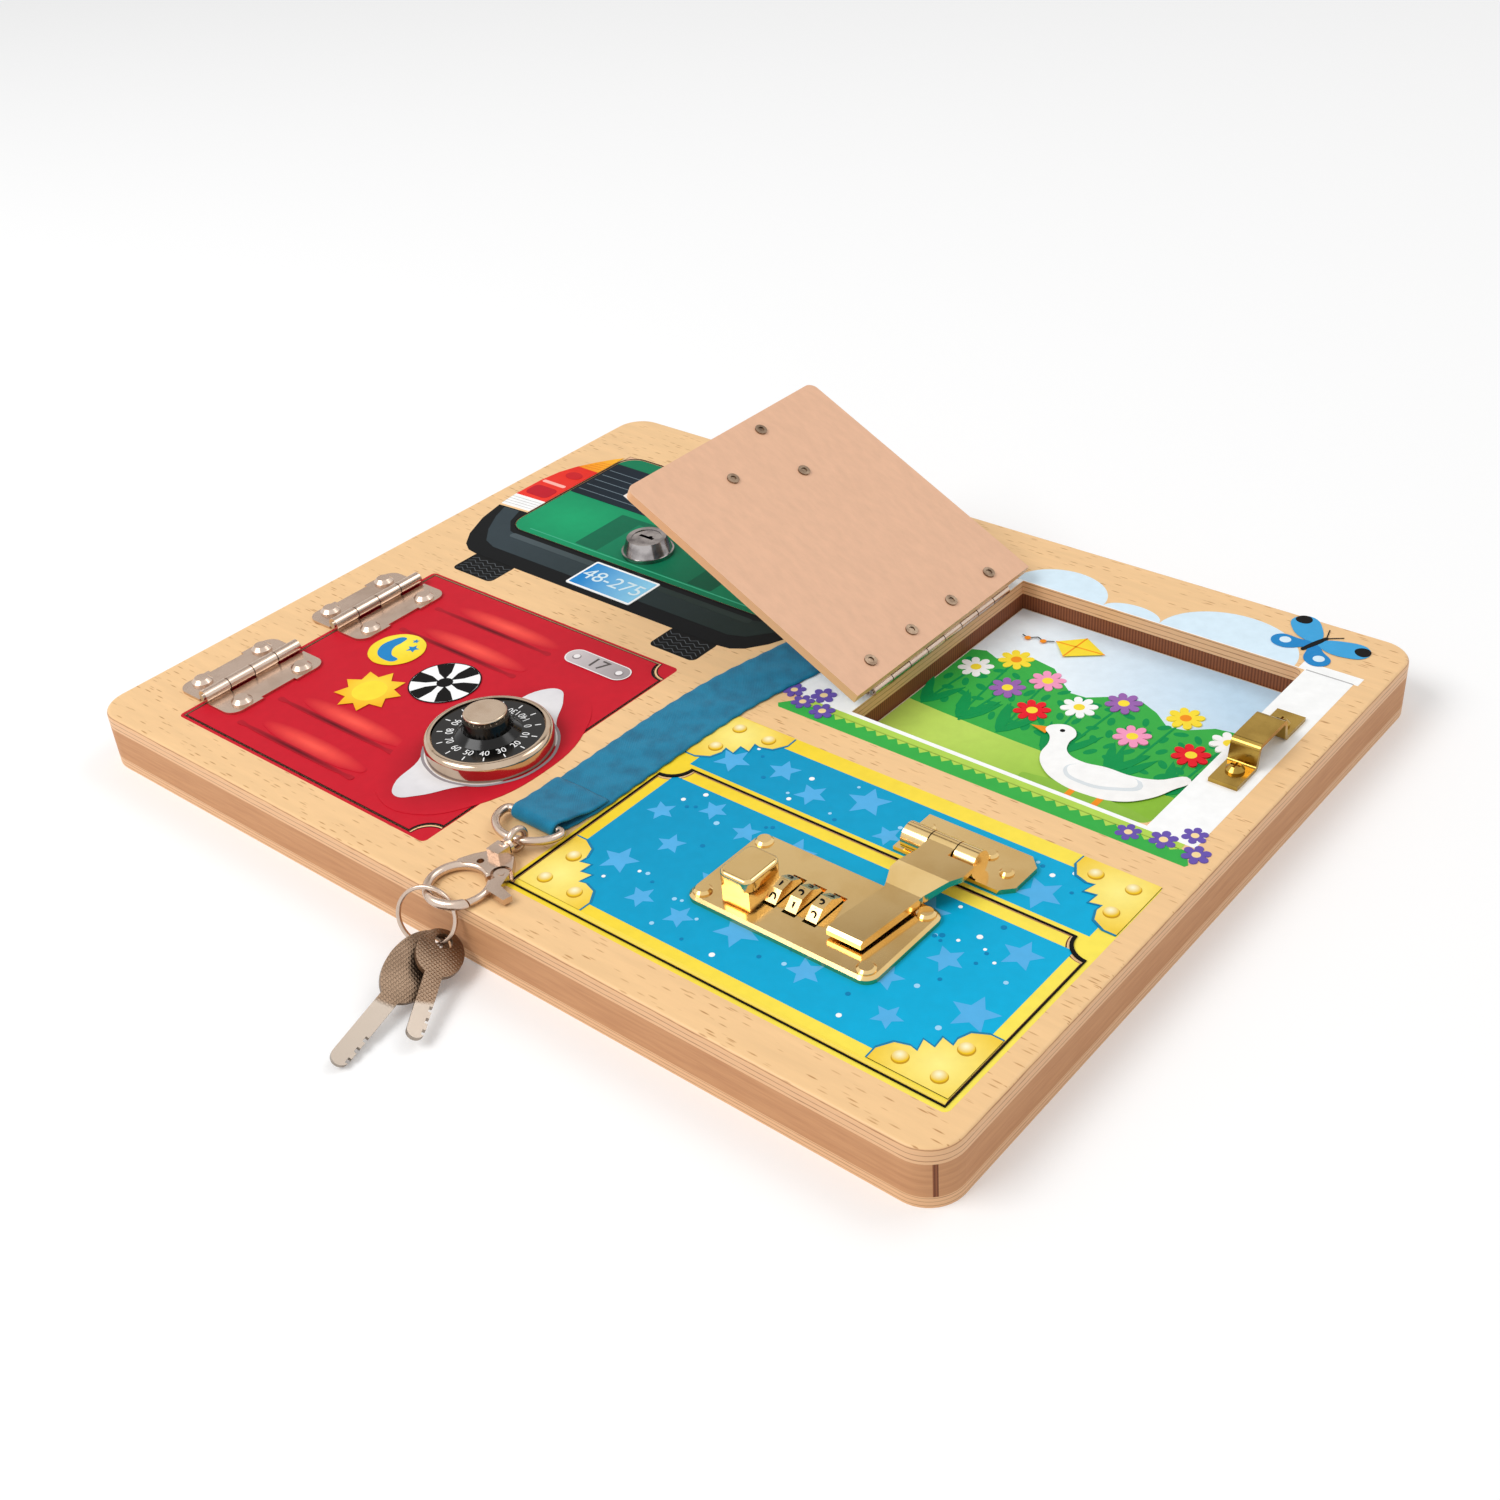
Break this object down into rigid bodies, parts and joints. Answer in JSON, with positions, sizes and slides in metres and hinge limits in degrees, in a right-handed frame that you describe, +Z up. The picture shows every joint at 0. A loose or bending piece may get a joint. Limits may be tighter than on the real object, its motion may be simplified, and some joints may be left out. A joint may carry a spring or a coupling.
{
  "type": "wooden busy board",
  "caption": "Layered wooden activity board with small printed doors, each on its own hinge and shut by its own kind of lock or latch, and a lanyard with keys.",
  "frame": {"origin": "centre of the underside of the board", "axes": "+X along the front edge, to the right seen from the front; +Y towards the back; +Z up out of the board"},
  "size_m": [0.368, 0.3463, 0.0795],
  "materials": {
    "plywood": "clear satin",
    "core_wood": "sawn, clear",
    "picture_board": "printed",
    "locker_print": "printed gloss",
    "trunk_print": "printed gloss",
    "garden_print": "printed front, bare back",
    "chest_print": "printed gloss",
    "nickel": "polished nickel",
    "steel": "bright",
    "brass": "polished",
    "dial_black": "gloss",
    "ribbon": "woven"
  },
  "bodies": {
    "board_body": {"top_sheet": "plywood", "core_stiles": "core_wood", "core_rails": "core_wood", "core_blocks": "core_wood", "back_board": "plywood", "locker_picture_board": "picture_board", "trunk_picture_board": "picture_board", "garden_picture_board": "picture_board", "chest_picture_board": "picture_board", "locker_hinge_frame_leaves": "nickel", "locker_hinge_pins": "steel", "locker_hinge_frame_rivets": "nickel", "strip_hinge_frame_leaves": "nickel", "strip_hinge_pins": "steel", "strip_hinge_frame_rivets": "nickel", "chest_pivot_pins": "steel", "bolt_keeper": "brass", "keeper_screws": "brass", "hasp_bracket": "brass", "hasp_pin": "brass", "hasp_bracket_rivets": "brass", "lanyard_screw": "steel", "lanyard_ribbon": "ribbon", "lanyard_ring": "nickel", "snap_hook": "nickel", "split_ring": "nickel", "keys": "nickel"},
    "locker_door_body": {"locker_door": "locker_print", "locker_hinge_door_leaves": "nickel", "locker_hinge_door_rivets": "nickel", "dial_case": "nickel", "dial_case_nut": "steel"},
    "dial_body": {"dial_face": "dial_black", "dial_spindle": "nickel", "dial_cam": "steel"},
    "trunk_door_body": {"trunk_door": "trunk_print", "trunk_hinge_door_leaf": "nickel", "trunk_hinge_rivets": "nickel", "cam_lock_body": "nickel", "cam_lock_nut": "steel"},
    "key_plug_body": {"cam_lock_plug": "nickel", "cam_lock_tongue": "steel"},
    "garden_door_body": {"garden_door": "garden_print", "garden_hinge_door_leaf": "nickel", "garden_hinge_rivets": "nickel", "bolt_plate": "brass", "bolt_plate_rivets": "nickel"},
    "slide_bolt_body": {"slide_bolt": "brass"},
    "chest_door_body": {"chest_door": "chest_print", "lock_plate": "brass", "lock_plate_rivets": "brass", "wheel_shaft": "steel"},
    "release_button_body": {"release_button": "brass"},
    "left_wheel_body": {"number_wheel_left": "brass"},
    "middle_wheel_body": {"number_wheel_middle": "brass"},
    "right_wheel_body": {"number_wheel_right": "brass"},
    "hasp_arm_body": {"hasp_arm": "brass"},
    "hook_trigger_body": {"hook_trigger": "nickel"}
  },
  "joints": [
    {"name": "locker_hinge", "type": "hinge", "parent": "board_body", "child": "locker_door_body", "pos_m": [-0.1512, -0.0685, 0.0243], "axis": [0, -1, 0], "range_deg": [0, 175]},
    {"name": "dial_spin", "type": "hinge", "parent": "locker_door_body", "child": "dial_body", "pos_m": [-0.0448, -0.08, 0.0285], "axis": [0, 0, 1], "continuous": true},
    {"name": "trunk_hinge", "type": "hinge", "parent": "board_body", "child": "trunk_door_body", "pos_m": [-0.0865, 0.1118, 0.0235], "axis": [-1, 0, 0], "range_deg": [0, 95]},
    {"name": "cam_lock_turn", "type": "hinge", "parent": "trunk_door_body", "child": "key_plug_body", "pos_m": [-0.092, 0.0515, 0.0285], "axis": [0, 0, -1], "range_deg": [0, 90]},
    {"name": "garden_hinge", "type": "hinge", "parent": "board_body", "child": "garden_door_body", "pos_m": [0.0442, 0.0584, 0.0235], "axis": [0, 1, 0], "range_deg": [0, 153]},
    {"name": "bolt_slide", "type": "slide", "parent": "garden_door_body", "child": "slide_bolt_body", "axis": [-0.891, 0, 0.454], "range_m": [0, 0.014]},
    {"name": "chest_hinge", "type": "hinge", "parent": "board_body", "child": "chest_door_body", "pos_m": [0.094, -0.1257, 0.0197], "axis": [1, 0, 0], "range_deg": [0, 48]},
    {"name": "hasp_hinge", "type": "hinge", "parent": "board_body", "child": "hasp_arm_body", "pos_m": [0.1177, -0.0457, 0.0271], "axis": [-1, 0, 0], "range_deg": [0, 165]},
    {"name": "release_button_slide", "type": "slide", "parent": "chest_door_body", "child": "release_button_body", "axis": [-1, 0, 0], "range_m": [0, 0.0025], "stiffness_N_per_m": 150, "springref_m": -0.002},
    {"name": "left_wheel_spin", "type": "hinge", "parent": "chest_door_body", "child": "left_wheel_body", "pos_m": [0.0874, -0.0857, 0.02065], "axis": [1, 0, 0], "continuous": true},
    {"name": "middle_wheel_spin", "type": "hinge", "parent": "chest_door_body", "child": "middle_wheel_body", "pos_m": [0.095, -0.0857, 0.02065], "axis": [1, 0, 0], "continuous": true},
    {"name": "right_wheel_spin", "type": "hinge", "parent": "chest_door_body", "child": "right_wheel_body", "pos_m": [0.1026, -0.0857, 0.02065], "axis": [1, 0, 0], "continuous": true},
    {"name": "hook_trigger_turn", "type": "hinge", "parent": "board_body", "child": "hook_trigger_body", "pos_m": [0.0117, -0.1291, 0.0231], "axis": [0, 0, -1], "range_deg": [0, 16], "stiffness_Nm_per_rad": 0.01, "springref_deg": -11.46}
  ],
  "couplings": [
    {"joint": "hasp_hinge", "follows": "chest_hinge", "ratio": 3.4},
    {"joint": "trunk_hinge", "follows": "garden_hinge", "ratio": 0.62}
  ]
}
